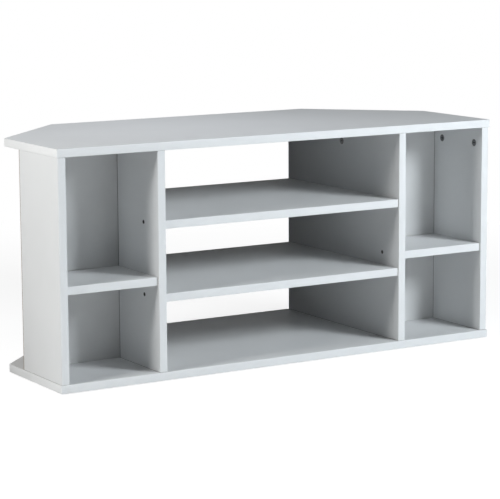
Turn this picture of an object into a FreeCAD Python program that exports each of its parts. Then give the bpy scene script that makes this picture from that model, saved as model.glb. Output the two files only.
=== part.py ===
import FreeCAD, Part
import os
import re

import Sketcher
from FreeCAD import Placement, Rotation, Vector

# Low corner media unit of coated chipboard. Millimetres, +Z up, front towards -Y.
# The origin is on the floor, at the middle of the unit's width and depth.

DIMENSIONS = {
    # Whole unit
    "unit_width": 1000,           # front edge of the top and the base
    "unit_depth": 428,            # front edge to back edge
    "carcass_height": 462,        # underside of the base to the upper face of the top
    "side_edge_length": 233,      # straight side edge, before the rear corner is cut at 45 degrees
    "board": 16,                  # thickness of every chipboard panel
    "band": 0.8,                  # thickness of the edge banding
    "reveal": 2,                  # top and base stand proud of the uprights by this much
    # Uprights
    "side_depth": 167,            # side panel, front to back, banding included
    "bay_width": 194,             # clear width of the bay at each end
    # Shelves
    "lower_clear": 136.5,         # base to the underside of the lower middle shelf
    "middle_clear": 126,          # lower to upper middle shelf
    "bay_clear": 170,             # base to the underside of a bay shelf
    "middle_setback": 3,          # middle shelf behind the uprights' front edges
    "middle_backset": 5,          # middle shelf short of the dividers' back edges
    "bay_setback": 4.5,           # bay shelf behind the uprights' front edges
    "bay_backset": 2.5,           # bay shelf short of the thin back
    # Thin backs of the bays
    "hardboard": 3,
    "groove_depth": 6,            # groove in the divider that takes the back's inner edge
    "groove_play": 0.5,           # room behind the edge in the groove and beside it
    "groove_front": 1.5,          # room in front of it
    "back_inset": 1,              # back short of the side panel's outer face and of the top
    # Drilling lines, measured from an upright's front edge
    "front_line": 60,             # dowels and screws in the dividers and the shelves
    "bay_rear_line": 122,         # rear dowels of the bay shelves
    "side_cam_pitch": 112,        # between the two cams of a side panel
    "side_dowel_pitch": 48,       # between the two dowels at an end of a side panel
    # Cam locks
    "cam_setback": 34,            # cam centre below the upright's top end
    "cam_bore": 15,
    "cam_clear": 0.1,             # running clearance round the cam
    "cam_skin": 3.2,              # board left behind the cam
    "cam_wall": 3,                # board left between a cam's bore and the groove, at least
    "cam_floor_gap": 0.1,         # cam's inner end to the floor of its bore
    "cam_play": 0.4,              # room round the bolt's head and neck inside the cam
    "cam_turn": 180,              # degrees from locked to open
    "cam_rim": 0.5,               # bevel round the cam's face
    "cam_recess_span": 8,         # cross recess in the cam's face
    "cam_recess_slot": 1.8,
    "cam_recess_depth": 2.6,
    "cam_arrow_length": 1.6,      # arrow mark beside the recess
    "cam_arrow_depth": 0.4,
    "cam_arrow_inset": 0.9,       # arrow's point from the cam's rim
    # Cam bolts
    "bolt_thread_dia": 5,
    "bolt_thread_length": 10,
    "bolt_tip": 1,                # bevel at the thread's end
    "bolt_dia": 6,
    "bolt_bore": 7,               # hole in the upright's end
    "bolt_neck_dia": 3.6,
    "bolt_neck_lead": 1,          # neck starts this far before the cam's bore
    "bolt_head_dia": 6,
    "bolt_head_length": 5.2,
    "bolt_head_tip_dia": 3,
    "bolt_head_offset": 2,        # middle of the head above the cam's centre
    # Dowels
    "dowel_dia": 8,
    "dowel_length": 30,
    "dowel_bevel": 1,
    "dowel_skin": 5,              # board left beyond a dowel hole in a face
    # Shelf and base screws
    "screw_head_dia": 8,
    "screw_head_length": 3,
    "screw_shank_dia": 5,
    "screw_core_dia": 3.8,
    "screw_length": 50,
    "screw_point": 3,
    "screw_socket": 3,            # hexagon socket, across flats
    "screw_socket_depth": 2,
    # Panel pins
    "pin_dia": 1.6,
    "pin_length": 20,
    "pin_point": 1.5,
    "pin_head_dia": 3.4,
    "pin_head_height": 0.8,
    "pin_end_margin": 40,         # first and last pin from the ends of the back
    # Glides
    "glide_dia": 20,
    "glide_foot_dia": 16,
    "glide_height": 3,
    "glide_edge": 1,              # height of the rounded-off edge
    "glide_inset": 35,            # glide centre from the edges of the base
    "glide_nail_dia": 2,
    "glide_nail_length": 11,
    "glide_nail_point": 2,
    # Fits
    "fixing_clear": 0.05,         # radial clearance of a fixing in its hole
    "end_gap": 1,                 # hole deeper than the fixing in it
    "overrun": 2,                 # cuts run past the faces by this much
}
PINS_PER_BACK = 4

doc = FreeCAD.newDocument("corner_media_unit")
sheet = doc.addObject("Spreadsheet::Sheet", "Sizes")
for row, (alias, value) in enumerate(DIMENSIONS.items(), start=1):
    sheet.set(f"A{row}", alias)
    sheet.set(f"B{row}", str(value))
    sheet.setAlias(f"B{row}", alias)
doc.recompute()

# Derived places, as expressions in the sheet's names
DIVIDER_DEPTH = "(unit_depth - 2 * reveal)"
UPRIGHT_HEIGHT = "(carcass_height - 2 * board)"
UPRIGHT_FRONT = "(reveal - unit_depth / 2)"
BASE_TOP = "(glide_height + board)"
TOP_UNDERSIDE = "(glide_height + carcass_height - board)"
MID_BOARD = "(board / 2)"
SIDE_X = "(unit_width / 2 - reveal - board / 2)"
SIDE_INNER_X = "(unit_width / 2 - reveal - board)"
DIVIDER_OUTER_X = f"({SIDE_INNER_X} - bay_width)"
DIVIDER_X = f"({DIVIDER_OUTER_X} - board / 2)"
DIVIDER_INNER_X = f"({DIVIDER_OUTER_X} - board)"
MIDDLE_WIDTH = f"(2 * {DIVIDER_INNER_X})"
MIDDLE_BACK = f"({DIVIDER_DEPTH} - middle_backset)"
BAY_BACK = "(side_depth - bay_backset)"
BACK_HEIGHT = f"({UPRIGHT_HEIGHT} - back_inset)"

# Heights of the shelves' undersides above the base
LOWER_SHELF = "lower_clear"
UPPER_SHELF = "(lower_clear + board + middle_clear)"
BAY_SHELF = "bay_clear"

# Drilling lines along the depth of an upright
SIDE_CAM_LINES = ["(side_depth / 2 - side_cam_pitch / 2)", "(side_depth / 2 + side_cam_pitch / 2)"]
SIDE_DOWEL_LINES = ["(side_depth / 2 - side_dowel_pitch / 2)", "(side_depth / 2 + side_dowel_pitch / 2)"]
DIVIDER_MIDDLE = f"({DIVIDER_DEPTH} / 2)"
GROOVE_BACK = "(side_depth + hardboard + groove_play)"
DIVIDER_CAM_LINE = f"max({DIVIDER_MIDDLE}; {GROOVE_BACK} + cam_wall + cam_bore / 2)"
REAR_LINE = f"({DIVIDER_DEPTH} - front_line)"
DIVIDER_ENDS = ["front_line", REAR_LINE]
DIVIDER_SCREW_LINES = ["front_line", DIVIDER_MIDDLE, REAR_LINE]
DIVIDER_DOWEL_LINES = [f"((front_line + {DIVIDER_MIDDLE}) / 2)", f"(({DIVIDER_MIDDLE} + {REAR_LINE}) / 2)"]
BAY_DOWEL_LINES = ["front_line", "bay_rear_line"]

# Cam and bolt
CAM_RADIUS = "(cam_bore / 2 - cam_clear)"
CAM_LENGTH = "(board - cam_skin - cam_floor_gap)"
CAM_CHAMBER = "(bolt_head_offset + bolt_head_length / 2 + cam_play)"
CAM_HEIGHT = f"({UPRIGHT_HEIGHT} - cam_setback)"
BOLT_NECK_START = "(cam_setback - cam_bore / 2 - bolt_neck_lead)"
BOLT_HEAD_MIDDLE = "(cam_setback - bolt_head_offset)"

# Holes
BOLT_PILOT = "(bolt_thread_dia + 2 * fixing_clear)"
DOWEL_HOLE = "(dowel_dia + 2 * fixing_clear)"
DOWEL_IN_FACE = "(board - dowel_skin)"
DOWEL_IN_END = f"(dowel_length - {DOWEL_IN_FACE})"
DOWEL_END_HOLE_DEPTH = f"({DOWEL_IN_END} + end_gap)"
SCREW_HEAD_HOLE = "(screw_head_dia + 2 * fixing_clear)"
SCREW_SHANK_HOLE = "(screw_shank_dia + 2 * fixing_clear)"
SCREW_PILOT = "(screw_core_dia + 2 * fixing_clear)"
SCREW_PILOT_DEPTH = "(screw_length - board + end_gap)"
PIN_HOLE = "(pin_dia + 2 * fixing_clear)"
NAIL_HOLE = "(glide_nail_dia + 2 * fixing_clear)"

HANDS = (-1, 1)
ALONG_X = Vector(1, 0, 0)
ALONG_Y = Vector(0, 1, 0)
ALONG_Z = Vector(0, 0, 1)
UPWARD = Rotation()
DOWNWARD = Rotation(ALONG_X, 180)
BACKWARD = Rotation(ALONG_Z, ALONG_Y)

nodes = {}


def sized(expression):
    """Write the sheet's names in an expression as references to its cells."""
    def cell(word):
        return f"Sizes.{word[0]}" if word[0] in DIMENSIONS else word[0]
    return re.sub(r"[a-z_]+", cell, expression)


def value_of(expression):
    return float(sheet.evalExpression(sized(expression)))


def place(item, x, y, z):
    for axis, expression in zip("xyz", (x, y, z)):
        item.setExpression(f"Placement.Base.{axis}", sized(expression))


def node(item, label):
    item.Label = label
    nodes[label] = item
    return item


# Sketches

def sketch_on(body, plane, lift="0"):
    sketch = body.newObject("Sketcher::SketchObject", f"{body.Name}_sketch")
    support = next(feature for feature in body.Origin.OriginFeatures if feature.Role == plane)
    sketch.AttachmentSupport = [(support, "")]
    sketch.MapMode = "FlatFace"
    sketch.setExpression("AttachmentOffset.Base.z", sized(lift))
    return sketch


def pin_point(sketch, geometry, vertex, point):
    for kind, expression in zip(("DistanceX", "DistanceY"), point):
        rule = Sketcher.Constraint(kind, -1, 1, geometry, vertex, value_of(expression))
        number = sketch.addConstraint(rule)
        sketch.setExpression(f"Constraints[{number}]", sized(expression))


def draw_polygon(sketch, points):
    corners = [Vector(value_of(x), value_of(y), 0) for x, y in points]
    following = corners[1:] + corners[:1]
    lines = [sketch.addGeometry(Part.LineSegment(a, b)) for a, b in zip(corners, following)]
    for line, next_line in zip(lines, lines[1:] + lines[:1]):
        sketch.addConstraint(Sketcher.Constraint("Coincident", line, 2, next_line, 1))
    for line, point in zip(lines, points):
        pin_point(sketch, line, 1, point)


def draw_circles(sketch, centres, diameter):
    for x, y in centres:
        middle = Vector(value_of(x), value_of(y), 0)
        circle = sketch.addGeometry(Part.Circle(middle, ALONG_Z, value_of(diameter) / 2))
        pin_point(sketch, circle, 3, (x, y))
        number = sketch.addConstraint(Sketcher.Constraint("Diameter", circle, value_of(diameter)))
        sketch.setExpression(f"Constraints[{number}]", sized(diameter))


def rectangle(low, high):
    return [low, (high[0], low[1]), high, (low[0], high[1])]


# Features

def pad(body, sketch, length, reverse=False):
    feature = body.newObject("PartDesign::Pad", f"{body.Name}_pad")
    feature.Profile = sketch
    feature.setExpression("Length", sized(length))
    feature.Reversed = reverse


def pocket(body, sketch, depth, reverse=False):
    feature = body.newObject("PartDesign::Pocket", f"{body.Name}_pocket")
    feature.Profile = sketch
    feature.setExpression("Length", sized(depth))
    feature.Reversed = reverse


def drill(body, face, centres, diameter, depth):
    plane, lift, reverse = face
    sketch = sketch_on(body, plane, lift)
    draw_circles(sketch, centres, diameter)
    pocket(body, sketch, depth, reverse)


def turned(name, profile):
    """A body turned about its own Z axis from a half section of (radius, height) points."""
    body = doc.addObject("PartDesign::Body", name)
    sketch = sketch_on(body, "XZ_Plane")
    draw_polygon(sketch, profile)
    feature = body.newObject("PartDesign::Revolution", f"{name}_turning")
    feature.Profile = sketch
    feature.ReferenceAxis = (sketch, ["V_Axis"])
    return body


def group(label, items):
    compound = doc.addObject("Part::Compound", label)
    compound.Links = items
    return node(compound, label)


def copies(label, pattern, places):
    """One node of separate copies of a pattern, each at its place (x, y, z, rotation)."""
    links = []
    for x, y, z, turn in places:
        link = doc.addObject("App::Link", f"{label}_item")
        link.LinkedObject = pattern
        link.Placement = Placement(Vector(), turn)
        place(link, x, y, z)
        links.append(link)
    return group(label, links)


def mirrored(label, source):
    item = doc.addObject("Part::Mirroring", label)
    item.Source = source
    item.Normal = ALONG_X
    return node(item, label)


def strip(name, size, corner):
    box = doc.addObject("Part::Box", name)
    for side, expression in zip(("Length", "Width", "Height"), size):
        box.setExpression(side, sized(expression))
    place(box, *corner)
    return box


# Six-sided top and base

def panel_corners(inset):
    """Corners of the six-sided outline, moved in from the finished edges."""
    half = f"(unit_width / 2 - {inset})"
    mitre = f"{inset} * (sqrt(2) - 1)"
    bend = f"(side_edge_length - unit_depth / 2 - {mitre})"
    back_half = f"(unit_width / 2 - unit_depth + side_edge_length - {mitre})"
    front = f"({inset} - unit_depth / 2)"
    back = f"(unit_depth / 2 - {inset})"
    return [(f"-{half}", front), (half, front), (half, bend),
            (back_half, back), (f"-{back_half}", back), (f"-{half}", bend)]


def upright_spots(side_lines, divider_lines):
    """Drilling centres over the side panels and the dividers, both hands."""
    rows = [(SIDE_X, line) for line in side_lines]
    rows += [(DIVIDER_X, line) for line in divider_lines]
    return [(f"{hand} * {x}", f"({UPRIGHT_FRONT} + {line})") for hand in HANDS for x, line in rows]


CAM_SPOTS = upright_spots(SIDE_CAM_LINES, [DIVIDER_CAM_LINE])
TOP_DOWEL_SPOTS = upright_spots(SIDE_DOWEL_LINES, DIVIDER_ENDS)
BASE_DOWEL_SPOTS = upright_spots(SIDE_DOWEL_LINES, DIVIDER_DOWEL_LINES)
BASE_SCREW_SPOTS = upright_spots(SIDE_CAM_LINES, DIVIDER_SCREW_LINES)
GLIDE_SPOTS = panel_corners("glide_inset")

FLAT_UNDERSIDE = ("XY_Plane", "0", True)
FLAT_UPPER = ("XY_Plane", "board", False)


def six_sided_panel(label, height):
    body = doc.addObject("PartDesign::Body", label)
    outline = sketch_on(body, "XY_Plane")
    draw_polygon(outline, panel_corners("band"))
    pad(body, outline, "board")
    place(body, "0", "0", height)
    return node(body, label)


top = six_sided_panel("top_panel", TOP_UNDERSIDE)
drill(top, FLAT_UNDERSIDE, CAM_SPOTS, BOLT_PILOT, "(bolt_thread_length + end_gap)")
drill(top, FLAT_UNDERSIDE, TOP_DOWEL_SPOTS, DOWEL_HOLE, DOWEL_IN_FACE)

base = six_sided_panel("base_panel", "glide_height")
drill(base, FLAT_UPPER, BASE_DOWEL_SPOTS, DOWEL_HOLE, DOWEL_IN_FACE)
drill(base, FLAT_UNDERSIDE, BASE_SCREW_SPOTS, SCREW_SHANK_HOLE, "(board + overrun)")
drill(base, FLAT_UNDERSIDE, BASE_SCREW_SPOTS, SCREW_HEAD_HOLE, "screw_head_length")
drill(base, FLAT_UNDERSIDE, GLIDE_SPOTS, NAIL_HOLE, "(glide_nail_length + end_gap)")


def panel_band_strips():
    """The six lengths of banding round a panel, mitred where they meet."""
    outer = panel_corners("0")
    inner = panel_corners("band")
    strips = []
    for a, b, c, d in zip(outer, outer[1:] + outer[:1], inner[1:] + inner[:1], inner):
        body = doc.addObject("PartDesign::Body", "panel_strip")
        outline = sketch_on(body, "XY_Plane")
        draw_polygon(outline, [a, b, c, d])
        pad(body, outline, "board")
        place(body, "0", "0", TOP_UNDERSIDE)
        strips.append(body)
    return strips


top_strips = panel_band_strips()
group("top_edge_band", top_strips)
base_strips = []
for source in top_strips:
    link = doc.addObject("App::Link", "base_strip")
    link.LinkedObject = source
    place(link, "0", "0", "glide_height")
    base_strips.append(link)
group("base_edge_band", base_strips)


# Uprights: X across the board from the outer face, Y from the finished front edge, Z from the base

UPRIGHT_OUTER = ("YZ_Plane", "0", True)
UPRIGHT_INNER = ("YZ_Plane", "board", False)
UPRIGHT_TOP = ("XY_Plane", UPRIGHT_HEIGHT, False)
UPRIGHT_BOTTOM = ("XY_Plane", "0", True)


def upright(label, x, core_back, cam_lines, dowel_lines, base_dowel_lines, base_screw_lines):
    body = doc.addObject("PartDesign::Body", label)
    outline = sketch_on(body, "YZ_Plane")
    draw_polygon(outline, rectangle(("band", "0"), (core_back, UPRIGHT_HEIGHT)))
    pad(body, outline, "board")
    drill(body, UPRIGHT_INNER, [(line, CAM_HEIGHT) for line in cam_lines],
          "cam_bore", f"({CAM_LENGTH} + cam_floor_gap)")
    drill(body, UPRIGHT_TOP, [(MID_BOARD, line) for line in cam_lines], "bolt_bore", "cam_setback")
    drill(body, UPRIGHT_TOP, [(MID_BOARD, line) for line in dowel_lines],
          DOWEL_HOLE, DOWEL_END_HOLE_DEPTH)
    drill(body, UPRIGHT_BOTTOM, [(MID_BOARD, line) for line in base_dowel_lines],
          DOWEL_HOLE, DOWEL_END_HOLE_DEPTH)
    drill(body, UPRIGHT_BOTTOM, [(MID_BOARD, line) for line in base_screw_lines],
          SCREW_PILOT, SCREW_PILOT_DEPTH)
    place(body, x, UPRIGHT_FRONT, BASE_TOP)
    return node(body, label)


def pin_heights():
    spaces = PINS_PER_BACK - 1
    return [f"(pin_end_margin + {n} * ({BACK_HEIGHT} - 2 * pin_end_margin) / {spaces})"
            for n in range(PINS_PER_BACK)]


LEFT_SIDE_X = f"(-{SIDE_X} - {MID_BOARD})"
LEFT_DIVIDER_X = f"(-{DIVIDER_OUTER_X})"
BAY_SHELF_MIDDLE = f"({BAY_SHELF} + {MID_BOARD})"

left_side = upright("left_side_panel", LEFT_SIDE_X, "side_depth",
                    SIDE_CAM_LINES, SIDE_DOWEL_LINES, SIDE_DOWEL_LINES, SIDE_CAM_LINES)
drill(left_side, UPRIGHT_INNER, [(line, BAY_SHELF_MIDDLE) for line in BAY_DOWEL_LINES],
      DOWEL_HOLE, DOWEL_IN_FACE)
SIDE_BACK_EDGE = ("XZ_Plane", "-side_depth", True)
drill(left_side, SIDE_BACK_EDGE, [(MID_BOARD, height) for height in pin_heights()],
      PIN_HOLE, "(pin_length - hardboard + end_gap)")

left_divider = upright("left_divider", LEFT_DIVIDER_X, f"({DIVIDER_DEPTH} - band)",
                       [DIVIDER_CAM_LINE], DIVIDER_ENDS, DIVIDER_DOWEL_LINES, DIVIDER_SCREW_LINES)
shelf_screw_spots = [(line, f"({underside} + {MID_BOARD})")
                     for underside in (LOWER_SHELF, UPPER_SHELF) for line in DIVIDER_ENDS]
drill(left_divider, UPRIGHT_OUTER, shelf_screw_spots, SCREW_SHANK_HOLE, "(board + overrun)")
drill(left_divider, UPRIGHT_OUTER, shelf_screw_spots, SCREW_HEAD_HOLE, "screw_head_length")
bay_screw_spots = [("front_line", BAY_SHELF_MIDDLE)]
drill(left_divider, UPRIGHT_INNER, bay_screw_spots, SCREW_SHANK_HOLE, "(board + overrun)")
drill(left_divider, UPRIGHT_INNER, bay_screw_spots, SCREW_HEAD_HOLE, "screw_head_length")
drill(left_divider, UPRIGHT_OUTER, [("bay_rear_line", BAY_SHELF_MIDDLE)], DOWEL_HOLE, DOWEL_IN_FACE)
groove = sketch_on(left_divider, "YZ_Plane")
draw_polygon(groove, rectangle(("(side_depth - groove_front)", "(-overrun)"),
                               (GROOVE_BACK, f"({UPRIGHT_HEIGHT} + overrun)")))
pocket(left_divider, groove, "groove_depth", reverse=True)

mirrored("right_side_panel", left_side)
mirrored("right_divider", left_divider)

side_band = node(strip("left_side_strip", ("board", "band", UPRIGHT_HEIGHT),
                       (LEFT_SIDE_X, UPRIGHT_FRONT, BASE_TOP)), "left_side_edge_band")
mirrored("right_side_edge_band", side_band)

divider_strips = [strip("left_divider_strip", ("board", "band", UPRIGHT_HEIGHT),
                        (LEFT_DIVIDER_X, f"({UPRIGHT_FRONT} + {line})", BASE_TOP))
                  for line in ("0", f"({DIVIDER_DEPTH} - band)")]
mirrored("right_divider_edge_band", group("left_divider_edge_band", divider_strips))


# Shelves: X along the shelf, Y from the uprights' front edges, Z from the underside

SHELF_LEFT_END = ("YZ_Plane", "0", True)
MIDDLE_RIGHT_END = ("YZ_Plane", MIDDLE_WIDTH, False)
BAY_INNER_END = ("YZ_Plane", "bay_width", False)


def shelf(label, length, front, back, corner_x, height):
    body = doc.addObject("PartDesign::Body", label)
    outline = sketch_on(body, "XY_Plane")
    draw_polygon(outline, rectangle(("0", front), (length, back)))
    pad(body, outline, "board")
    place(body, corner_x, UPRIGHT_FRONT, f"({BASE_TOP} + {height})")
    return node(body, label)


def shelf_strip(name, length, line, corner_x, height):
    return strip(name, (length, "band", "board"),
                 (corner_x, f"({UPRIGHT_FRONT} + {line})", f"({BASE_TOP} + {height})"))


MIDDLE_LEFT = f"(-{DIVIDER_INNER_X})"
for label, height in (("lower_middle_shelf", LOWER_SHELF), ("upper_middle_shelf", UPPER_SHELF)):
    back_strip_line = f"({MIDDLE_BACK} - band)"
    middle_shelf = shelf(label, MIDDLE_WIDTH, "(middle_setback + band)", back_strip_line,
                         MIDDLE_LEFT, height)
    end_spots = [(line, MID_BOARD) for line in DIVIDER_ENDS]
    for end in (SHELF_LEFT_END, MIDDLE_RIGHT_END):
        drill(middle_shelf, end, end_spots, SCREW_PILOT, SCREW_PILOT_DEPTH)
    group(f"{label}_edge_band", [shelf_strip(f"{label}_strip", MIDDLE_WIDTH, line, MIDDLE_LEFT, height)
                                 for line in ("middle_setback", back_strip_line)])

BAY_LEFT = f"(-{SIDE_INNER_X})"
left_bay_shelf = shelf("left_bay_shelf", "bay_width", "(bay_setback + band)", BAY_BACK, BAY_LEFT, BAY_SHELF)
drill(left_bay_shelf, SHELF_LEFT_END, [(line, MID_BOARD) for line in BAY_DOWEL_LINES],
      DOWEL_HOLE, DOWEL_END_HOLE_DEPTH)
drill(left_bay_shelf, BAY_INNER_END, [("front_line", MID_BOARD)], SCREW_PILOT, SCREW_PILOT_DEPTH)
drill(left_bay_shelf, BAY_INNER_END, [("bay_rear_line", MID_BOARD)], DOWEL_HOLE, DOWEL_END_HOLE_DEPTH)
mirrored("right_bay_shelf", left_bay_shelf)

bay_band = node(shelf_strip("left_bay_strip", "bay_width", "bay_setback", BAY_LEFT, BAY_SHELF),
                "left_bay_shelf_edge_band")
mirrored("right_bay_shelf_edge_band", bay_band)


# Thin backs of the bays, pinned to the side panels and held in the dividers' grooves

BACK_LEFT = f"({LEFT_SIDE_X} + back_inset)"
BACK_RIGHT = f"({LEFT_DIVIDER_X} + groove_depth - groove_play)"
left_back = doc.addObject("PartDesign::Body", "left_back_panel")
back_outline = sketch_on(left_back, "XZ_Plane")
draw_polygon(back_outline, rectangle(("0", "0"), (f"({BACK_RIGHT} - {BACK_LEFT})", BACK_HEIGHT)))
pad(left_back, back_outline, "hardboard", reverse=True)
BACK_FRONT_FACE = ("XZ_Plane", "0", False)
drill(left_back, BACK_FRONT_FACE, [(f"({MID_BOARD} - back_inset)", height) for height in pin_heights()],
      PIN_HOLE, "(hardboard + overrun)")
place(left_back, BACK_LEFT, f"({UPRIGHT_FRONT} + side_depth)", BASE_TOP)
node(left_back, "left_back_panel")
mirrored("right_back_panel", left_back)


# Cam locks: Z out of the board's face, X towards the bolt when locked

def cam(label, hand, x, line):
    body = turned(label, [
        ("0", "0"),
        (f"({CAM_RADIUS} - cam_rim)", "0"),
        (CAM_RADIUS, "-cam_rim"),
        (CAM_RADIUS, f"-{CAM_LENGTH}"),
        ("0", f"-{CAM_LENGTH}"),
    ])

    head_half = "(bolt_head_dia / 2 + cam_play)"
    chamber_half = f"({head_half} + cam_clear)"
    chamber = sketch_on(body, "XZ_Plane")
    draw_polygon(chamber, rectangle(("0", f"(-{MID_BOARD} - {chamber_half})"),
                                    (CAM_CHAMBER, f"({chamber_half} - {MID_BOARD})")))
    hollow = body.newObject("PartDesign::Groove", f"{label}_chamber")
    hollow.Profile = chamber
    hollow.ReferenceAxis = (chamber, ["V_Axis"])

    neck_half = "(bolt_neck_dia / 2 + cam_play)"
    slot = sketch_on(body, "YZ_Plane")
    draw_polygon(slot, rectangle((f"(-{CAM_RADIUS} - overrun)", f"(-{MID_BOARD} - {neck_half})"),
                                 (f"(-{CAM_CHAMBER} + cam_play)", f"({neck_half} - {MID_BOARD})")))
    sweep = body.newObject("PartDesign::Groove", f"{label}_slot")
    sweep.Profile = slot
    sweep.ReferenceAxis = (slot, ["V_Axis"])
    sweep.Midplane = True
    sweep.setExpression("Angle", sized(f"cam_turn * 1 deg + 2 * asin({neck_half} / {CAM_CHAMBER})"))

    entry = sketch_on(body, "YZ_Plane")
    draw_circles(entry, [("0", f"(-{MID_BOARD})")], f"(2 * {head_half})")
    pocket(body, entry, f"({CAM_RADIUS} + overrun)")

    arm = "(cam_recess_span / 2)"
    flank = "(cam_recess_slot / 2)"
    for tall, wide in ((arm, flank), (flank, arm)):
        recess = sketch_on(body, "XY_Plane")
        draw_polygon(recess, rectangle((f"-{tall}", f"-{wide}"), (tall, wide)))
        pocket(body, recess, "cam_recess_depth")

    tip = f"(-{CAM_RADIUS} + cam_arrow_inset)"
    tail = f"({tip} + cam_arrow_length)"
    arrow = sketch_on(body, "XY_Plane")
    draw_polygon(arrow, [(tip, "0"), (tail, "(-cam_arrow_length / 2)"), (tail, "(cam_arrow_length / 2)")])
    pocket(body, arrow, "cam_arrow_depth")

    outward = Vector(-hand, 0, 0)
    body.Placement = Placement(Vector(), Rotation(ALONG_Z, Vector(), outward, "ZXY"))
    place(body, f"{hand} * {x}", f"({UPRIGHT_FRONT} + {line})", f"({TOP_UNDERSIDE} - cam_setback)")
    return node(body, label)


for hand, name in zip(HANDS, ("left", "right")):
    for line, end in zip(SIDE_CAM_LINES, ("front", "rear")):
        cam(f"{name}_side_{end}_cam", hand, SIDE_INNER_X, line)
    cam(f"{name}_divider_cam", hand, DIVIDER_INNER_X, DIVIDER_CAM_LINE)


# Cam bolts, from the top's underside: thread up into the top, head down in the cam

bolt = turned("cam_bolt", [
    ("0", "bolt_thread_length"),
    ("(bolt_thread_dia / 2 - bolt_tip)", "bolt_thread_length"),
    ("(bolt_thread_dia / 2)", "(bolt_thread_length - bolt_tip)"),
    ("(bolt_thread_dia / 2)", "0"),
    ("(bolt_dia / 2)", "0"),
    ("(bolt_dia / 2)", f"-{BOLT_NECK_START}"),
    ("(bolt_neck_dia / 2)", f"-{BOLT_NECK_START}"),
    ("(bolt_neck_dia / 2)", f"(-{BOLT_HEAD_MIDDLE} + bolt_head_length / 2)"),
    ("(bolt_head_dia / 2)", f"-{BOLT_HEAD_MIDDLE}"),
    ("(bolt_head_tip_dia / 2)", f"(-{BOLT_HEAD_MIDDLE} - bolt_head_length / 2)"),
    ("0", f"(-{BOLT_HEAD_MIDDLE} - bolt_head_length / 2)"),
])
copies("cam_bolts", bolt, [(x, y, TOP_UNDERSIDE, UPWARD) for x, y in CAM_SPOTS])


# Dowels, from the joint: Z into the face, the longer part into the other board's end

dowel = turned("dowel", [
    ("0", f"-{DOWEL_IN_END}"),
    ("(dowel_dia / 2 - dowel_bevel)", f"-{DOWEL_IN_END}"),
    ("(dowel_dia / 2)", f"(-{DOWEL_IN_END} + dowel_bevel)"),
    ("(dowel_dia / 2)", f"({DOWEL_IN_FACE} - dowel_bevel)"),
    ("(dowel_dia / 2 - dowel_bevel)", DOWEL_IN_FACE),
    ("0", DOWEL_IN_FACE),
])
copies("top_dowels", dowel, [(x, y, TOP_UNDERSIDE, UPWARD) for x, y in TOP_DOWEL_SPOTS])
copies("base_dowels", dowel, [(x, y, BASE_TOP, DOWNWARD) for x, y in BASE_DOWEL_SPOTS])


def facing(hand):
    """Turn a fixing's Z axis to point along X, left for -1 and right for 1."""
    return Rotation(ALONG_Z, Vector(hand, 0, 0))


bay_level = f"({BASE_TOP} + {BAY_SHELF_MIDDLE})"
bay_dowel_places = []
for hand in HANDS:
    outer_end = f"{hand} * {SIDE_INNER_X}"
    inner_end = f"{hand} * {DIVIDER_OUTER_X}"
    for line in BAY_DOWEL_LINES:
        bay_dowel_places.append((outer_end, f"({UPRIGHT_FRONT} + {line})", bay_level, facing(hand)))
    bay_dowel_places.append((inner_end, f"({UPRIGHT_FRONT} + bay_rear_line)", bay_level, facing(-hand)))
copies("bay_shelf_dowels", dowel, bay_dowel_places)


# Screws, from the head's outer face, shank towards -Z

screw = turned("screw", [
    ("0", "0"),
    ("(screw_head_dia / 2)", "0"),
    ("(screw_head_dia / 2)", "-screw_head_length"),
    ("(screw_shank_dia / 2)", "-screw_head_length"),
    ("(screw_shank_dia / 2)", "-board"),
    ("(screw_core_dia / 2)", "-board"),
    ("(screw_core_dia / 2)", "(screw_point - screw_length)"),
    ("0", "-screw_length"),
])
socket = sketch_on(screw, "XY_Plane")
corner = "(screw_socket / sqrt(3))"
draw_polygon(socket, [(f"{corner} * cos({60 * n})", f"{corner} * sin({60 * n})") for n in range(6)])
pocket(screw, socket, "screw_socket_depth")

copies("base_screws", screw, [(x, y, "glide_height", DOWNWARD) for x, y in BASE_SCREW_SPOTS])
copies("middle_shelf_screws", screw, [
    (f"{hand} * {DIVIDER_OUTER_X}", f"({UPRIGHT_FRONT} + {line})", f"({BASE_TOP} + {height})", facing(hand))
    for hand in HANDS for line, height in shelf_screw_spots
])
copies("bay_shelf_screws", screw, [
    (f"{hand} * {DIVIDER_INNER_X}", f"({UPRIGHT_FRONT} + {line})", f"({BASE_TOP} + {height})", facing(-hand))
    for hand in HANDS for line, height in bay_screw_spots
])


# Panel pins, from the thin back's rear face

pin = turned("panel_pin", [
    ("0", "pin_head_height"),
    ("(pin_head_dia / 2)", "pin_head_height"),
    ("(pin_head_dia / 2)", "0"),
    ("(pin_dia / 2)", "0"),
    ("(pin_dia / 2)", "(pin_point - pin_length)"),
    ("0", "-pin_length"),
])
back_rear_face = f"({UPRIGHT_FRONT} + side_depth + hardboard)"
copies("back_panel_pins", pin, [
    (f"{hand} * {SIDE_X}", back_rear_face, f"({BASE_TOP} + {height})", BACKWARD)
    for hand in HANDS for height in pin_heights()
])


# Glides, nailed up into the base near its six corners

glide = turned("glide", [
    ("0", "0"),
    ("(glide_foot_dia / 2)", "0"),
    ("(glide_dia / 2)", "glide_edge"),
    ("(glide_dia / 2)", "glide_height"),
    ("(glide_nail_dia / 2)", "glide_height"),
    ("(glide_nail_dia / 2)", "(glide_height + glide_nail_length - glide_nail_point)"),
    ("0", "(glide_height + glide_nail_length)"),
])
copies("floor_glides", glide, [(x, y, "0", UPWARD) for x, y in GLIDE_SPOTS])


# Check every object and every cut, then write one file for each node

doc.recompute()
for item in doc.Objects:
    if {"Invalid", "Error"} & set(item.State):
        raise RuntimeError(f"{item.Name} failed: {item.State}")
    if item.TypeId in ("PartDesign::Pocket", "PartDesign::Groove"):
        if item.Shape.Volume >= item.BaseFeature.Shape.Volume:
            raise RuntimeError(f"{item.Name} cuts nothing")

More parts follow.
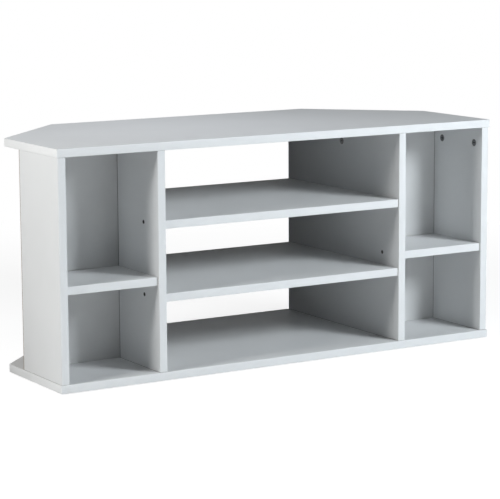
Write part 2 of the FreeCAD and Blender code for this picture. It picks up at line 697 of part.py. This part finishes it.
os.makedirs("parts", exist_ok=True)
for label, item in nodes.items():
    shape = item.Shape
    if shape.isNull() or not shape.isValid():
        raise RuntimeError(f"{label} has no valid shape")
for label, item in nodes.items():
    item.Shape.exportStep(f"parts/{label}.step")
    print(label, len(item.Shape.Solids), round(item.Shape.Volume))
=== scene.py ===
import math

import bmesh
import bpy
from mathutils import Matrix, Vector


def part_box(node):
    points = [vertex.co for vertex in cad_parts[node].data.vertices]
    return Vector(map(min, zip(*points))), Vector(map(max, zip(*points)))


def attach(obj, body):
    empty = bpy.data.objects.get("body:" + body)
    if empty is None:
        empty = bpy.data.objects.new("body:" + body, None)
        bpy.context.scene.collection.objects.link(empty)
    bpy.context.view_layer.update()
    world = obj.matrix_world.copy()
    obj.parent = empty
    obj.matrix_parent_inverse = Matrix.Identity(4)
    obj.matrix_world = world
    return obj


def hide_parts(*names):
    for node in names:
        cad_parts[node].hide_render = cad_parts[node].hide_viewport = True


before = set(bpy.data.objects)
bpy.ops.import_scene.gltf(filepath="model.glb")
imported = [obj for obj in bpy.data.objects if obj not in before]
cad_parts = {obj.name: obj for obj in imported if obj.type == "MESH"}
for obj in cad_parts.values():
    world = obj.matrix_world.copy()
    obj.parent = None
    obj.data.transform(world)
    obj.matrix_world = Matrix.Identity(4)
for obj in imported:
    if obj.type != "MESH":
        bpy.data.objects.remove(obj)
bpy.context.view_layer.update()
print("frame loaded:", len(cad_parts), "nodes")


# Shader sums as plain expressions

class Sock:  # one output of a node
    def __init__(self, finish, socket):
        self.finish = finish
        self.socket = socket

    def sum(self, operation, first, second=0.0):
        return self.finish.node("Math", {"operation": operation}, {0: first, 1: second})

    def other(self, output):  # another output of the same node
        return Sock(self.finish, self.socket.node.outputs[output])

    def __add__(self, value):
        return self.sum("ADD", self, value)

    def __radd__(self, value):
        return self.sum("ADD", value, self)

    def __sub__(self, value):
        return self.sum("SUBTRACT", self, value)

    def __rsub__(self, value):
        return self.sum("SUBTRACT", value, self)

    def __mul__(self, value):
        return self.sum("MULTIPLY", self, value)

    def __rmul__(self, value):
        return self.sum("MULTIPLY", value, self)

    def __or__(self, value):  # the larger of two masks
        return self.sum("MAXIMUM", self, value)

    def __abs__(self):
        return self.sum("ABSOLUTE", self)


class Finish:  # the nodes of one material, or of the world
    def __init__(self, owner):
        owner.use_nodes = True
        self.tree = owner.node_tree
        self.tree.nodes.clear()

    def node(self, kind, settings=None, sockets=None, out=0):
        made = self.tree.nodes.new("ShaderNode" + kind)
        for key, value in (settings or {}).items():
            if key == "stops":
                self.setStops(made.color_ramp, value)
            else:
                setattr(made, key, value)
        for key, value in (sockets or {}).items():
            if isinstance(value, Sock):
                self.tree.links.new(value.socket, made.inputs[key])
            else:
                made.inputs[key].default_value = value
        return Sock(self, made.outputs[out]) if made.outputs else made

    def setStops(self, ramp, stops):
        while len(ramp.elements) < len(stops):
            ramp.elements.new(1.0)
        for element, (position, colour) in zip(ramp.elements, stops):
            element.position = position
            element.color = colour

    def place(self):  # a point's place in the unit, in metres
        return self.node("TexCoord", out="Object")

    def along(self, place, axis):  # its distance along one axis
        return self.node("SeparateXYZ", {}, {"Vector": place}, out=axis)

    def length(self, place):
        return self.node("VectorMath", {"operation": "LENGTH"}, {0: place}, out="Value")

    def wave(self, value):
        return self.node("Math", {"operation": "SINE"}, {0: value})

    def tint(self, share, first, second):  # from one colour to another, by socket numbers
        return self.node("Mix", {"data_type": "RGBA"}, {0: share, 6: first, 7: second}, out=2)

    def fade(self, value, low, high):  # 0 below low, 1 above high
        return self.node("MapRange", {"interpolation_type": "SMOOTHSTEP"},
                         {"Value": value, "From Min": low, "From Max": high})

    def noise(self, place, scale, detail, rough):
        return self.node("TexNoise", {}, {"Vector": place, "Scale": scale, "Detail": detail,
                                          "Roughness": rough})

    def bump(self, height, distance, strength):
        return self.node("Bump", {}, {"Height": height, "Distance": distance,
                                      "Strength": strength})

    def surface(self, **sockets):  # short words for the shader's own socket names
        named = {"colour": "Base Color", "rough": "Roughness", "metal": "Metallic",
                 "specular": "Specular IOR Level", "normal": "Normal"}
        shader = self.node("BsdfPrincipled", {},
                           {named[key]: value for key, value in sockets.items()})
        self.node("OutputMaterial", {}, {"Surface": shader})


def newFinish(name):
    material = bpy.data.materials.new(name)
    return material, Finish(material)


def rgb(red, green, blue):
    return (red, green, blue, 1.0)


def blend(first, second, share):  # this share of the first, the rest of the second
    return first * share + second * (1 - share)


def swing(noise, amount):  # noise as a swing about zero
    return (noise - 0.5) * amount


def dress(piece, material):  # a CAD node has its slot already, a new piece has none
    if not piece.material_slots:
        piece.data.materials.append(material)
    for slot in piece.material_slots:
        slot.material = material


# Where a sawn edge meets another piece the facing stops a hair short of it.
# That raw line is coloured near black, as painted shade of the gap between the pieces.
seamAndShade = {
    "line": 0.0004,           # at the ends of uprights and shelves
    "backLine": 0.0009,       # painted shadow of the gap where the thin back meets a side panel
    "soft": (0.7, 1.3),       # the line fades out between these shares of its width
    "glue": 0.3,              # share of the line left between a face and its banding
    # near black: raw chips darkened with painted shade of the gap
    "colour": rgb(0.10, 0.085, 0.07),
}


def reach(node, axis):  # where a node starts and ends along an axis
    return [corner["XYZ".index(axis)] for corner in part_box(node)]


def jointLine(f, place, axis, at, width):
    off = abs(f.along(place, axis) - at)
    return 1 - f.fade(off, *(width * share for share in seamAndShade["soft"]))


def endLines(f, place, node, axis):
    low, high = (jointLine(f, place, axis, at, seamAndShade["line"]) for at in reach(node, axis))
    return low | high


# White faced chipboard: satin paper on both faces, raw chips on every sawn edge and in every hole.
# Each noise here and below has its scale, detail and roughness, each relief its depth and strength.
board = {
    "faceColour": rgb(0.728, 0.733, 0.735),
    "faceShade": rgb(0.708, 0.713, 0.716),
    "faceRough": 0.60,
    "gloss": 0.03,            # specular level of the satin paper
    "paper": 0.0003,          # depth of the white facing
    "paperFade": 0.0001,      # it gives way to raw chips over this depth
    "mottle": (7.0, 3.0, 0.5),
    "pearl": (1100.0, 2.0, 0.6),
    "rub": (38.0, 5.0, 0.65),
    "mottleShare": 0.6,       # mottle against pearl in the tone
    "toneSpan": (0.35, 0.65),
    "rubRough": 0.10,         # swings of the roughness
    "pearlRough": 0.08,
    "pearlHeight": 0.03,
    "chipPale": rgb(0.60, 0.45, 0.29),
    "chipMid": rgb(0.42, 0.28, 0.16),
    "chipDark": rgb(0.20, 0.125, 0.07),
    "chipMidAt": 0.45,        # place of the middle tone between dark and pale
    "chipRough": 0.88,
    "coreShare": 0.55,        # middle layer with the coarse chips
    "coreFade": (0.8, 1.2),   # its edge, in shares of the fine layer's depth
    "coarseChips": 300.0,     # to the metre
    "fineChips": 950.0,
    "fibre": (420.0, 4.0, 0.7),
    "chipTone": 0.65,         # chips against fibres in the tone
    "chipHeight": 0.6,        # and in the relief
    "relief": (0.0006, 0.5),
    "sheetStep": 1.37,        # each board is cut from another sheet, this far on
    "sheetSlant": (1.0, -0.6, 0.3),
}


def boardFinish(node, axis, endAxis, shift):
    material, f = newFinish(node + "_finish")
    low, high = reach(node, axis)
    middle, half = (low + high) / 2, (high - low) / 2
    place = f.place()
    own = f.node("Mapping", {}, {"Vector": place, "Location": shift})
    inward = half - abs(f.along(place, axis) - middle)
    raw = f.fade(inward, board["paper"], board["paper"] + board["paperFade"])

    mottle = f.noise(own, *board["mottle"])
    pearl = f.noise(own, *board["pearl"])
    rub = f.noise(own, *board["rub"])
    tone = f.fade(blend(mottle, pearl, board["mottleShare"]), *board["toneSpan"])
    face = f.tint(tone, board["faceShade"], board["faceColour"])
    if endAxis:
        front, back = reach(node, "Y")
        glueLine = jointLine(f, place, "Y", front, seamAndShade["line"]) * seamAndShade["glue"]
        lines = endLines(f, place, node, endAxis) | glueLine
        # a painted shadow line where the thin back meets the side panel
        if "side_panel" in node:
            lines = lines | jointLine(f, place, "Y", back, seamAndShade["backLine"])
        # seam lines on the face: raw chips darkened with painted shade of the gaps
        face = f.tint(lines, face, seamAndShade["colour"])
    faceRough = (board["faceRough"] + swing(rub, board["rubRough"])
                 + swing(pearl, board["pearlRough"]))

    fine, coarse = (f.node("TexVoronoi", {}, {"Vector": own, "Scale": board[size]}, out="Color")
                    for size in ("fineChips", "coarseChips"))
    fineLayer = half * (1 - board["coreShare"])
    core = f.fade(inward, *(fineLayer * share for share in board["coreFade"]))
    chip = f.node("SeparateColor", {}, {"Color": f.tint(core, fine, coarse)}, out="Red")
    fibre = f.noise(own, *board["fibre"])
    stops = [(0.0, board["chipDark"]), (board["chipMidAt"], board["chipMid"]),
             (1.0, board["chipPale"])]
    chips = f.node("ValToRGB", {"stops": stops}, {"Fac": blend(chip, fibre, board["chipTone"])})
    height = (pearl * board["pearlHeight"] * (1 - raw)
              + blend(chip, fibre, board["chipHeight"]) * raw)
    f.surface(colour=f.tint(raw, face, chips), specular=board["gloss"],
              rough=faceRough * (1 - raw) + board["chipRough"] * raw,
              normal=f.bump(height, *board["relief"]))
    return material


boardNodes = {   # by the axis across the board and the axis of its sawn ends
    ("Z", None): ["top_panel", "base_panel"],
    ("Z", "X"): ["upper_middle_shelf", "lower_middle_shelf", "left_bay_shelf", "right_bay_shelf"],
    ("X", "Z"): ["left_side_panel", "right_side_panel", "left_divider", "right_divider"],
}
sheet = 0.0
for (axis, endAxis), names in boardNodes.items():
    for name in names:
        sheet += board["sheetStep"]
        shift = [sheet * slant for slant in board["sheetSlant"]]
        dress(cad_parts[name], boardFinish(name, axis, endAxis, shift))
print("boards finished:", sum(len(names) for names in boardNodes.values()))


# Hardboard backs: painted front, brown back with the print of the wire screen, painted shade in the
# groove
hardboard = {
    "paint": rgb(0.720, 0.722, 0.720),
    "paintShade": rgb(0.695, 0.697, 0.696),
    "brown": rgb(0.36, 0.225, 0.125),
    "brownDark": rgb(0.24, 0.142, 0.076),
    "grooveShade": rgb(0.055, 0.036, 0.024),   # painted shade: the strip inside the groove, near black
    "grooveFade": 0.0002,                   # the painted shade sets in over this width
    "paintDepth": (0.0002, 0.0004),         # paint gives way to brown between these depths
    "fibre": (260.0, 5.0, 0.7),
    "cloud": (16.0, 3.0, 0.5),
    "paintSpan": (0.35, 0.65),
    "fibreShare": 0.6,                      # fibres against clouds in the brown
    "brownSpan": (0.3, 0.7),
    "screenPitch": 0.0014,
    "screenHeight": 0.25,
    "paintHeight": 0.25,                    # fibres under the paint
    "fibreHeight": 0.6,                     # bare fibres
    "rough": 0.55,
    "fibreRough": 0.1,
    "brownRough": 0.3,                      # more on the unpainted side
    "gloss": 0.06,
    "relief": (0.0003, 0.6),
}


def hardboardFinish(node, divider):
    material, f = newFinish(node + "_finish")
    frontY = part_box(node)[0].y
    hand = 1 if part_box(node)[0].x > 0 else -1
    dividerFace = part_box(divider)[1 if hand > 0 else 0].x
    place = f.place()
    split = f.along(place, "Y")
    # painted shade on the strip of the back that lies inside the divider's groove
    grooveShadeShare = f.fade((dividerFace - split.other("X")) * hand, 0.0, hardboard["grooveFade"])
    raw = f.fade(split, *(frontY + depth for depth in hardboard["paintDepth"]))
    fibre = f.noise(place, *hardboard["fibre"])
    cloud = f.noise(place, *hardboard["cloud"])
    turns = 2 * math.pi / hardboard["screenPitch"]
    screen = f.wave(split.other("X") * turns) + f.wave(split.other("Z") * turns)

    paintTone = f.fade(cloud, *hardboard["paintSpan"])
    paint = f.tint(paintTone, hardboard["paintShade"], hardboard["paint"])
    brownTone = f.fade(blend(fibre, cloud, hardboard["fibreShare"]), *hardboard["brownSpan"])
    brown = f.tint(brownTone, hardboard["brownDark"], hardboard["brown"])
    bare = screen * hardboard["screenHeight"] + fibre * hardboard["fibreHeight"]
    height = fibre * hardboard["paintHeight"] * (1 - raw) + bare * raw
    rough = hardboard["rough"] + swing(fibre, hardboard["fibreRough"])
    # the strip in the groove takes the painted shade over paint and brown
    f.surface(colour=f.tint(grooveShadeShare, f.tint(raw, paint, brown), hardboard["grooveShade"]),
              rough=rough + raw * hardboard["brownRough"], specular=hardboard["gloss"],
              normal=f.bump(height, *hardboard["relief"]))
    return material


for hand in ("left", "right"):
    finish = hardboardFinish(hand + "_back_panel", hand + "_divider")
    dress(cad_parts[hand + "_back_panel"], finish)
print("backs finished")


# Plated bolts and pins, burnished screws
metals = {
    "plated": {"pale": rgb(0.62, 0.60, 0.55), "dark": rgb(0.45, 0.43, 0.40), "rough": 0.30,
               "grain": (900.0, 3.0, 0.6)},
    "burnished": {"pale": rgb(0.11, 0.10, 0.095), "dark": rgb(0.045, 0.04, 0.038), "rough": 0.40,
                  "grain": (800.0, 3.0, 0.6)},
}
metalWear = {
    "stain": (170.0, 4.0, 0.6),
    "stainShare": 0.6,        # stain against grain in the tone
    "toneSpan": (0.3, 0.7),
    "stainRough": 0.25,
    "grainRough": 0.1,
    "metal": 0.9,
    "relief": (0.0001, 0.5),
}


def metalFinish(name):
    use = metals[name]
    material, f = newFinish(name + "_finish")
    place = f.place()
    grain = f.noise(place, *use["grain"])
    stain = f.noise(place, *metalWear["stain"])
    tone = f.fade(blend(stain, grain, metalWear["stainShare"]), *metalWear["toneSpan"])
    rough = use["rough"] + swing(stain, metalWear["stainRough"])
    f.surface(colour=f.tint(tone, use["dark"], use["pale"]), metal=metalWear["metal"],
              rough=rough + swing(grain, metalWear["grainRough"]),
              normal=f.bump(grain, *metalWear["relief"]))
    return material


# Cams of cast zinc, their faces turned
camZinc = {
    "pale": rgb(0.240, 0.240, 0.244),
    "dull": rgb(0.140, 0.140, 0.143),
    "recessShade": rgb(0.012, 0.011, 0.010),   # painted shade in the cross recess
    "recessReach": 0.0044,               # the recess lies inside this radius
    "recessFade": 0.0002,
    "recessDepth": (0.0003, 0.0012),     # the painted shade sets in between these depths
    "lathe": 2200.0,                     # turning marks to the metre
    "latheWander": 3.0,                  # how far stains shift the marks
    "latheHeight": 0.3,
    "stain": (260.0, 4.0, 0.6),
    "grain": (2400.0, 2.0, 0.5),
    "stainShare": 0.7,                   # stain against grain in the tone
    "toneSpan": (0.3, 0.7),
    "rough": 0.46,
    "stainRough": 0.2,
    "recessShadeRough": 0.4,
    "metal": 0.45,
    "gloss": 0.2,
    "relief": (0.00008, 0.4),
}


def camFinish(node):
    material, f = newFinish(node + "_finish")
    low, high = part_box(node)
    hand = 1 if low.x > 0 else -1
    face = low.x if hand > 0 else high.x
    centre = Vector((face, *((low + high) / 2).yz))
    place = f.place()
    split = f.along(f.node("Mapping", {}, {"Vector": place, "Location": -centre}), "X")
    radius = f.length(f.node("CombineXYZ", {}, {"Y": split.other("Y"), "Z": split.other("Z")}))
    reachEnd = camZinc["recessReach"] + camZinc["recessFade"]
    inside = 1 - f.fade(radius, camZinc["recessReach"], reachEnd)
    # painted shade in the cross recess, deeper than the face
    recessShade = f.fade(split * hand, *camZinc["recessDepth"]) * inside
    stain = f.noise(place, *camZinc["stain"])
    grain = f.noise(place, *camZinc["grain"])
    turns = 2 * math.pi * camZinc["lathe"]
    lathe = f.wave(radius * turns + stain * camZinc["latheWander"])
    tone = f.fade(blend(stain, grain, camZinc["stainShare"]), *camZinc["toneSpan"])
    zinc = f.tint(tone, camZinc["dull"], camZinc["pale"])
    rough = camZinc["rough"] + swing(stain, camZinc["stainRough"])
    # the recess takes the painted shade, loses its metal and gets rougher
    f.surface(colour=f.tint(recessShade, zinc, camZinc["recessShade"]), metal=camZinc["metal"] * (1 - recessShade),
              specular=camZinc["gloss"], rough=rough + recessShade * camZinc["recessShadeRough"],
              normal=f.bump(lathe * camZinc["latheHeight"] + grain, *camZinc["relief"]))
    return material


# Beech dowels
beech = {
    "pale": rgb(0.62, 0.42, 0.25),
    "dark": rgb(0.45, 0.27, 0.145),
    "along": 0.06,            # the grain is drawn out along the dowel
    "grain": (900.0, 4.0, 0.65),
    "fleck": (2600.0, 2.0, 0.5),
    "grainShare": 0.7,        # grain against fleck in the tone
    "toneSpan": (0.35, 0.65),
    "rough": 0.62,
    "fleckRough": 0.2,
    "relief": (0.0003, 0.4),
}


def beechFinish(name, stretch):
    material, f = newFinish(name)
    drawn = f.node("Mapping", {}, {"Vector": f.place(), "Scale": stretch})
    grain = f.noise(drawn, *beech["grain"])
    fleck = f.noise(drawn, *beech["fleck"])
    tone = f.fade(blend(grain, fleck, beech["grainShare"]), *beech["toneSpan"])
    f.surface(colour=f.tint(tone, beech["dark"], beech["pale"]),
              rough=beech["rough"] + swing(fleck, beech["fleckRough"]),
              normal=f.bump(grain, *beech["relief"]))
    return material


# Glides: a plastic foot on a steel nail
glide = {
    "white": rgb(0.72, 0.72, 0.70),
    "shade": rgb(0.64, 0.64, 0.62),
    "nail": rgb(0.55, 0.55, 0.56),
    "foot": 0.003,            # height of the foot, the nail starts above it
    "nailFade": 0.0001,
    "cloud": (120.0, 3.0, 0.5),
    "scuff": (700.0, 4.0, 0.7),
    "cloudShare": 0.5,        # cloud against scuff in the tone
    "toneSpan": (0.35, 0.65),
    "rough": 0.5,
    "scuffRough": 0.3,
    "nailSmooth": 0.15,       # the nail is this much less rough
    "nailMetal": 0.9,
    "relief": (0.0001, 0.4),
}


def glideFinish():
    material, f = newFinish("glide_finish")
    place = f.place()
    nail = f.fade(f.along(place, "Z"), glide["foot"], glide["foot"] + glide["nailFade"])
    cloud = f.noise(place, *glide["cloud"])
    scuff = f.noise(place, *glide["scuff"])
    tone = f.fade(blend(cloud, scuff, glide["cloudShare"]), *glide["toneSpan"])
    plastic = f.tint(tone, glide["shade"], glide["white"])
    rough = glide["rough"] + swing(scuff, glide["scuffRough"])
    f.surface(colour=f.tint(nail, plastic, glide["nail"]), metal=nail * glide["nailMetal"],
              rough=rough - nail * glide["nailSmooth"], normal=f.bump(scuff, *glide["relief"]))
    return material


platedFinish, burnishedFinish = (metalFinish(name) for name in metals)
uprightBeech = beechFinish("upright_beech_finish", (1.0, 1.0, beech["along"]))
levelBeech = beechFinish("level_beech_finish", (beech["along"], 1.0, 1.0))
smallFinishes = {
    "cam_bolts": platedFinish,
    "back_panel_pins": platedFinish,
    "base_screws": burnishedFinish,
    "middle_shelf_screws": burnishedFinish,
    "bay_shelf_screws": burnishedFinish,
    "top_dowels": uprightBeech,
    "base_dowels": uprightBeech,
    "bay_shelf_dowels": levelBeech,
    "floor_glides": glideFinish(),
}
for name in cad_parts:
    if name.endswith("_cam"):
        smallFinishes[name] = camFinish(name)
for name, material in smallFinishes.items():
    dress(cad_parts[name], material)
print("fixings finished:", len(smallFinishes))


# Modelling by hand: a block at its size and place, then edit mode

def deselectAll():
    if bpy.context.object and bpy.context.object.mode != "OBJECT":
        bpy.ops.object.mode_set(mode="OBJECT")
    bpy.ops.object.select_all(action="DESELECT")


def startBlock(name, low, high):
    deselectAll()
    bpy.ops.mesh.primitive_cube_add(size=1.0, location=(Vector(low) + Vector(high)) / 2)
    piece = bpy.context.object
    piece.name = piece.data.name = name
    bpy.ops.transform.resize(value=Vector(high) - Vector(low))
    bpy.ops.object.transform_apply(location=True, rotation=True, scale=True)
    bpy.ops.object.mode_set(mode="EDIT")
    return piece


def pick(piece, kind, test):  # selects the faces or edges that pass the test
    bpy.ops.mesh.select_all(action="DESELECT")
    bpy.ops.mesh.select_mode(type={"faces": "FACE", "edges": "EDGE"}[kind])
    mesh = bmesh.from_edit_mesh(piece.data)
    for part in getattr(mesh, kind):
        if test(part):
            part.select_set(True)
    bmesh.update_edit_mesh(piece.data)


def turnOutwards():
    bpy.ops.mesh.select_all(action="SELECT")
    bpy.ops.mesh.normals_make_consistent(inside=False)


def closeUp(angle):  # out of edit mode, smooth where faces meet under this angle
    turnOutwards()
    bpy.ops.object.mode_set(mode="OBJECT")
    bpy.ops.object.shade_smooth_by_angle(angle=angle)


def joinPieces(pieces):
    deselectAll()
    for piece in pieces:
        piece.select_set(True)
    bpy.context.view_layer.objects.active = pieces[0]
    if len(pieces) > 1:
        bpy.ops.object.join()
    return pieces[0]


# Edge banding, with its arrises rounded off
banding = {
    "colour": rgb(0.771, 0.776, 0.778),
    "shade": rgb(0.752, 0.757, 0.760),
    "cloud": (24.0, 3.0, 0.5),
    "fine": (1400.0, 2.0, 0.6),
    "cloudShare": 0.5,        # cloud against fine grain in the tone
    "toneSpan": (0.35, 0.65),
    "rough": 0.46,
    "cloudRough": 0.12,
    "fineRough": 0.08,
    "gloss": 0.10,
    "relief": (0.0001, 0.12),
    "thick": 0.0008,
    "arris": 0.0005,          # radius along the edges
    "corner": 0.0007,         # radius at the corners of the top and base
    "steps": 4,
    "sideEdge": 0.233,        # straight side edge of the top and base
    "smoothAngle": math.radians(35),
    "sharpAngle": 1.0,        # radians, an edge that turns more is an arris
    "level": 0.9,             # upward share of a level face's normal
    "upright": 0.1,           # and of an upright face's
}


def bandingFinish(node, endAxis):
    material, f = newFinish(node + "_finish")
    place = f.place()
    cloud = f.noise(place, *banding["cloud"])
    fine = f.noise(place, *banding["fine"])
    tone = f.fade(blend(cloud, fine, banding["cloudShare"]), *banding["toneSpan"])
    colour = f.tint(tone, banding["shade"], banding["colour"])
    if endAxis:
        # seam lines at the ends of the banding, darkened with painted shade of the gaps
        colour = f.tint(endLines(f, place, node, endAxis), colour, seamAndShade["colour"])
    rough = banding["rough"] + swing(cloud, banding["cloudRough"])
    f.surface(colour=colour, rough=rough + swing(fine, banding["fineRough"]),
              specular=banding["gloss"], normal=f.bump(fine, *banding["relief"]))
    return material


def near(a, b, slack=1e-6):
    return abs(a - b) < slack


def isLevel(edge):
    return near(edge.verts[0].co.z, edge.verts[1].co.z)


def roundOff(radius):
    bpy.ops.mesh.bevel(offset=radius, segments=banding["steps"], affect="EDGES")


def bandStrip(name, low, high, outerY):
    piece = startBlock(name, low, high)
    upright = high.z - low.z > high.x - low.x

    def isLongOuter(edge):
        a, b = (corner.co for corner in edge.verts)
        alongStrip = near(a.x, b.x) if upright else near(a.z, b.z)
        return alongStrip and near(a.y, outerY) and near(b.y, outerY)

    pick(piece, "edges", isLongOuter)
    bpy.ops.mesh.bevel(offset=banding["arris"], segments=banding["steps"], affect="EDGES",
                       clamp_overlap=True)
    closeUp(banding["smoothAngle"])
    return piece


def frontAndBackStrips(node):  # one strip, or two where the node has a strip front and back
    low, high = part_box(node)
    single = high.y - low.y < 2 * banding["thick"]
    frontHigh = Vector((high.x, low.y + banding["thick"], high.z))
    strips = [bandStrip(node + "_strip", low, frontHigh, low.y)]
    if not single:
        backLow = Vector((low.x, high.y - banding["thick"], low.z))
        strips.append(bandStrip(node + "_strip_back", backLow, high, high.y))
    return joinPieces(strips)


def panelBand(node):  # block, rear corners cut off, opened to a ring, corners and arrises rounded
    low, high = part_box(node)
    middle = (low + high) / 2
    cutReach = high.x + low.y + banding["sideEdge"]   # x and y add up to this on the cut corners
    piece = startBlock(node + "_strip", low, high)
    for hand in (-1, 1):
        bpy.ops.mesh.select_all(action="SELECT")
        bpy.ops.mesh.bisect(plane_co=(hand * high.x, low.y + banding["sideEdge"], 0),
                            plane_no=(hand, 1, 0), use_fill=True, clear_outer=True)
    pick(piece, "faces", lambda face: abs(face.normal.z) > banding["level"])
    bpy.ops.mesh.inset(thickness=banding["thick"])
    bpy.ops.mesh.bridge_edge_loops()

    def isOuter(corner):
        x, y = abs(corner.co.x), corner.co.y
        return near(x, high.x) or near(y, low.y) or near(y, high.y) or near(x + y, cutReach)

    def isCorner(edge):
        return all(isOuter(corner) for corner in edge.verts) and not isLevel(edge)

    def isOuterWall(face):
        outward = face.calc_center_median() - middle
        return (abs(face.normal.z) < banding["upright"]
                and face.normal.x * outward.x + face.normal.y * outward.y > 0)

    def isArris(edge):
        return (edge.is_manifold and isLevel(edge)
                and abs(edge.calc_face_angle()) > banding["sharpAngle"]
                and any(isOuterWall(face) for face in edge.link_faces))

    pick(piece, "edges", isCorner)
    roundOff(banding["corner"])
    turnOutwards()
    pick(piece, "edges", isArris)
    roundOff(banding["arris"])
    closeUp(banding["smoothAngle"])
    return piece


bandNodes = [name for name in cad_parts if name.endswith("_edge_band")]
for node in bandNodes:
    if node in ("top_edge_band", "base_edge_band"):
        band, endAxis = panelBand(node), None
    else:
        band, endAxis = frontAndBackStrips(node), "X" if "shelf" in node else "Z"
    dress(band, bandingFinish(node, endAxis))
    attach(band, "carcass")
    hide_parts(node)
print("banding on:", len(bandNodes))


# White room: pale floor with a soft shadow, background white to the camera and to reflections only
room = {
    "floorRadius": 40.0,
    "floorSides": 64,
    "frontBounce": rgb(0.85, 0.85, 0.85),   # what the floor gives back to the unit, in front of it
    "backBounce": rgb(0.08, 0.08, 0.08),    # and behind it
    "bounceEdge": (-0.25, 0.15),
    "floorPale": rgb(0.30, 0.30, 0.30),     # what shows the shadow, near the unit
    "nearGlow": rgb(0.86, 0.86, 0.86),
    "shadowReach": (0.75, 1.9),             # shadow fades out between these distances
    "dim": rgb(0.0, 0.0, 0.0),              # light from the rest of the room
    "glow": 1.0,                            # strength at which white is just white
}
black, white = rgb(0, 0, 0), rgb(1, 1, 1)


def seenDirectly(f):
    path = f.node("LightPath", out="Is Camera Ray")
    return path | path.other("Is Glossy Ray") | path.other("Is Transmission Ray")


deselectAll()
bpy.ops.mesh.primitive_circle_add(vertices=room["floorSides"], radius=room["floorRadius"],
                                  fill_type="NGON")
floor = bpy.context.object
floor.name = "floor"
floorMaterial, f = newFinish("floor_finish")
place = f.place()
away = f.fade(f.length(place), *room["shadowReach"])
behind = f.fade(f.along(place, "Y"), *room["bounceEdge"])
bounce = f.tint(behind, room["frontBounce"], room["backBounce"])
seen = seenDirectly(f)
glowColour = f.tint(seen, black, f.tint(away, room["nearGlow"], white))
paintColour = f.tint(seen, bounce, f.tint(away, room["floorPale"], black))
glow = f.node("Emission", {}, {"Color": glowColour, "Strength": room["glow"]})
paint = f.node("BsdfDiffuse", {}, {"Color": paintColour})
f.node("OutputMaterial", {}, {"Surface": f.node("AddShader", {}, {0: paint, 1: glow})})
dress(floor, floorMaterial)

scene = bpy.context.scene
scene.world = bpy.data.worlds.new("white_room")
f = Finish(scene.world)
backdrop = f.node("Background", {}, {"Color": f.tint(seenDirectly(f), room["dim"], white),
                                     "Strength": room["glow"]})
f.node("OutputWorld", {}, {"Surface": backdrop})


# Soft boxes: the key in front on the right, a low one in front, one on the left,
# a small one close above the top, and a long one low behind
lamps = {
    "key_box": {"at": (1.15, -2.20, 1.32), "aim": (0.0, -0.1, 0.23), "size": (0.75, 0.55),
                "watts": 53.9, "colour": (0.891, 0.955, 1.0)},
    "low_box": {"at": (0.30, -2.90, 0.40), "aim": (0.0, -0.1, 0.23), "size": (0.6, 0.4),
                "watts": 3.35, "colour": (0.891, 0.955, 1.0)},
    "side_box": {"at": (-1.82, -0.31, 1.04), "aim": (-0.2, -0.1, 0.23), "size": (0.48, 0.4),
                 "watts": 21.5, "colour": (0.997, 1.0, 0.987)},
    "top_box": {"at": (-0.14, 0.08, 1.10), "aim": (-0.14, 0.08, 0.46), "size": (0.4, 0.4),
                "watts": 1.52, "colour": (0.907, 0.935, 1.0)},
    "rear_box": {"at": (1.5, 2.9, 0.05), "aim": (0.0, 0.2, 0.22), "size": (1.2, 0.09),
                 "watts": 24.0, "colour": (1.0, 1.0, 1.0)},
}
for name, use in lamps.items():
    data = bpy.data.lights.new(name, "AREA")
    data.shape = "RECTANGLE"
    data.size, data.size_y = use["size"]
    data.energy = use["watts"]
    data.color = use["colour"]
    lamp = bpy.data.objects.new(name, data)
    lamp.location = use["at"]
    towards = Vector(use["aim"]) - Vector(use["at"])
    lamp.rotation_euler = towards.to_track_quat("-Z", "Y").to_euler()
    scene.collection.objects.link(lamp)


# Camera where the photograph was taken from, angles in degrees
camera = {
    "at": (-2.1684, -3.6599, 0.8914),
    "yaw": 31.148,
    "down": 9.162,
    "roll": -0.314,
    "lens": 149.95,           # millimetres
    "sensor": 36.0,
}
data = bpy.data.cameras.new("camera")
data.lens = camera["lens"]
data.sensor_width = camera["sensor"]
data.sensor_fit = "HORIZONTAL"
shot = bpy.data.objects.new("camera", data)
scene.collection.objects.link(shot)
shot.matrix_world = (Matrix.Translation(camera["at"])
                     @ Matrix.Rotation(math.radians(-camera["yaw"]), 4, "Z")
                     @ Matrix.Rotation(math.radians(90 - camera["down"]), 4, "X")
                     @ Matrix.Rotation(math.radians(camera["roll"]), 4, "Z"))
scene.camera = shot
scene.view_settings.view_transform = "Standard"
print("room, lamps and camera set")
